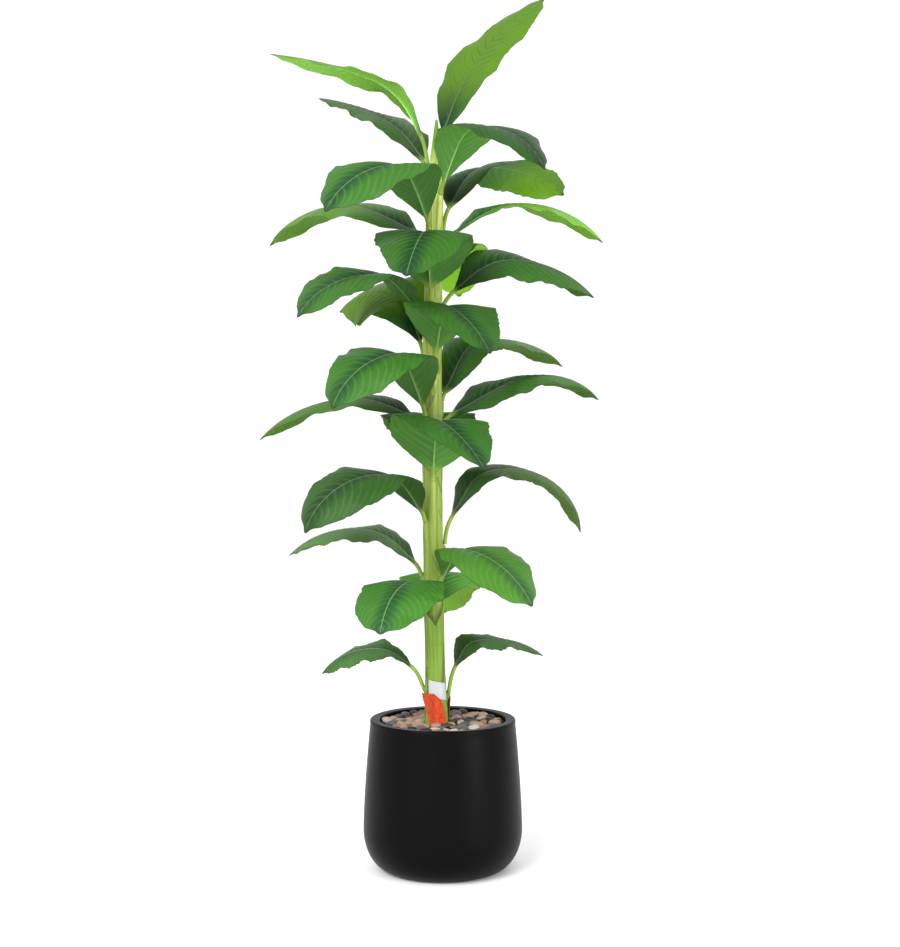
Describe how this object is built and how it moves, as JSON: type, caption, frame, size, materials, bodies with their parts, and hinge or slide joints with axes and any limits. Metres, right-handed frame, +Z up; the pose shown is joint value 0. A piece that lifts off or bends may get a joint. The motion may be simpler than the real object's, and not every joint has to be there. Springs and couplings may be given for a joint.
{
  "type": "artificial banana plant in a planter",
  "caption": "A tall single-stemmed artificial banana plant whose broad folded leaves arch out all round the trunk, in a round inturned black planter topped with pebbles",
  "frame": {"origin": "centre of the planter's flat underside, on the floor", "axes": "+Z up along the trunk, -Y the front, +X to the right seen from the front"},
  "size_m": [0.8048, 0.5828, 2],
  "materials": {
    "pot": "satin black",
    "fill": "cast cement",
    "pebbles": "mixed river pebbles",
    "trunk": "moulded, streaked yellow-green",
    "leaf": "printed polyester, soft sheen",
    "sheath": "matt orange",
    "label": "plain white"
  },
  "bodies": {
    "root": {"pot": "pot", "pot_fill": "fill", "pebble_bed": "pebbles", "trunk": "trunk", "sheath_front": "sheath", "sheath_back": "sheath", "trunk_label": "label", "leaf_01": "leaf", "leaf_02": "leaf", "leaf_03": "leaf", "leaf_04_foot": "leaf", "leaf_04_blade": "leaf", "leaf_05_foot": "leaf", "leaf_05_blade": "leaf", "leaf_06": "leaf", "leaf_07": "leaf", "leaf_08": "leaf", "leaf_09_foot": "leaf", "leaf_09_blade": "leaf", "leaf_10_foot": "leaf", "leaf_10_blade": "leaf", "leaf_11": "leaf", "leaf_12_foot": "leaf", "leaf_12_blade": "leaf", "leaf_13_foot": "leaf", "leaf_13_blade": "leaf", "leaf_14_foot": "leaf", "leaf_14_blade": "leaf", "leaf_15": "leaf", "leaf_16_foot": "leaf", "leaf_16_blade": "leaf", "leaf_17": "leaf", "leaf_18": "leaf", "leaf_19_foot": "leaf", "leaf_19_blade": "leaf", "leaf_20_foot": "leaf", "leaf_20_blade": "leaf", "leaf_21_foot": "leaf", "leaf_21_blade": "leaf", "leaf_22_foot": "leaf", "leaf_22_blade": "leaf", "leaf_23": "leaf", "leaf_24_foot": "leaf", "leaf_24_blade": "leaf", "leaf_25": "leaf", "leaf_26_foot": "leaf", "leaf_26_blade": "leaf", "leaf_27": "leaf", "leaf_28_foot": "leaf", "leaf_28_blade": "leaf"}
  },
  "joints": []
}
